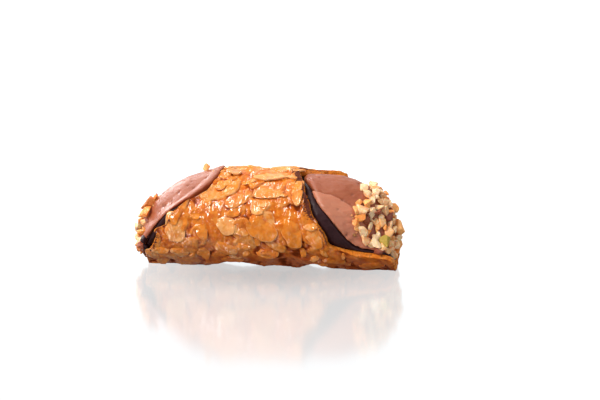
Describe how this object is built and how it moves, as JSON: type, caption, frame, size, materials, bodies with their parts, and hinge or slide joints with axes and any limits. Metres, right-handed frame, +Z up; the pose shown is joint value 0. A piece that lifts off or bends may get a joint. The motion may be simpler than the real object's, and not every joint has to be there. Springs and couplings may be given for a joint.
{
  "type": "cannolo",
  "caption": "Filled cannolo: a rolled crust of caramelised sliced almonds, lined with dark chocolate, with chocolate cream swelling out of both slanting ends.",
  "frame": {"origin": "on the resting plane, below the middle of the whole", "axes": "+X along the tube, towards the end with the longer tongue; +Z up as it lies"},
  "size_m": [0.1174, 0.0464, 0.0448],
  "materials": {
    "crust": "baked wafer, golden brown, glazed",
    "chocolate": "dark chocolate, satin",
    "cream": "chocolate cream, matt",
    "almond": "toasted almond under caramel glaze"
  },
  "bodies": {
    "root": {"crust": "crust", "chocolate_lining": "chocolate", "cream_filling": "cream", "almond_slice_01": "almond", "almond_slice_02": "almond", "almond_slice_03": "almond", "almond_slice_04": "almond", "almond_slice_05": "almond", "almond_slice_06": "almond", "almond_slice_07": "almond", "almond_slice_08": "almond", "almond_slice_09": "almond", "almond_slice_10": "almond", "almond_slice_11": "almond", "almond_slice_12": "almond", "almond_slice_13": "almond", "almond_slice_14": "almond", "almond_slice_15": "almond", "almond_slice_16": "almond", "almond_slice_17": "almond", "almond_slice_18": "almond", "almond_slice_19": "almond", "almond_slice_20": "almond", "almond_slice_21": "almond", "almond_slice_22": "almond", "almond_slice_23": "almond", "almond_slice_24": "almond", "almond_slice_25": "almond", "almond_slice_26": "almond", "almond_slice_27": "almond", "almond_slice_28": "almond", "almond_slice_29": "almond", "almond_slice_30": "almond", "almond_slice_31": "almond", "almond_slice_32": "almond", "almond_slice_33": "almond", "almond_slice_34": "almond", "almond_slice_35": "almond"}
  },
  "joints": []
}
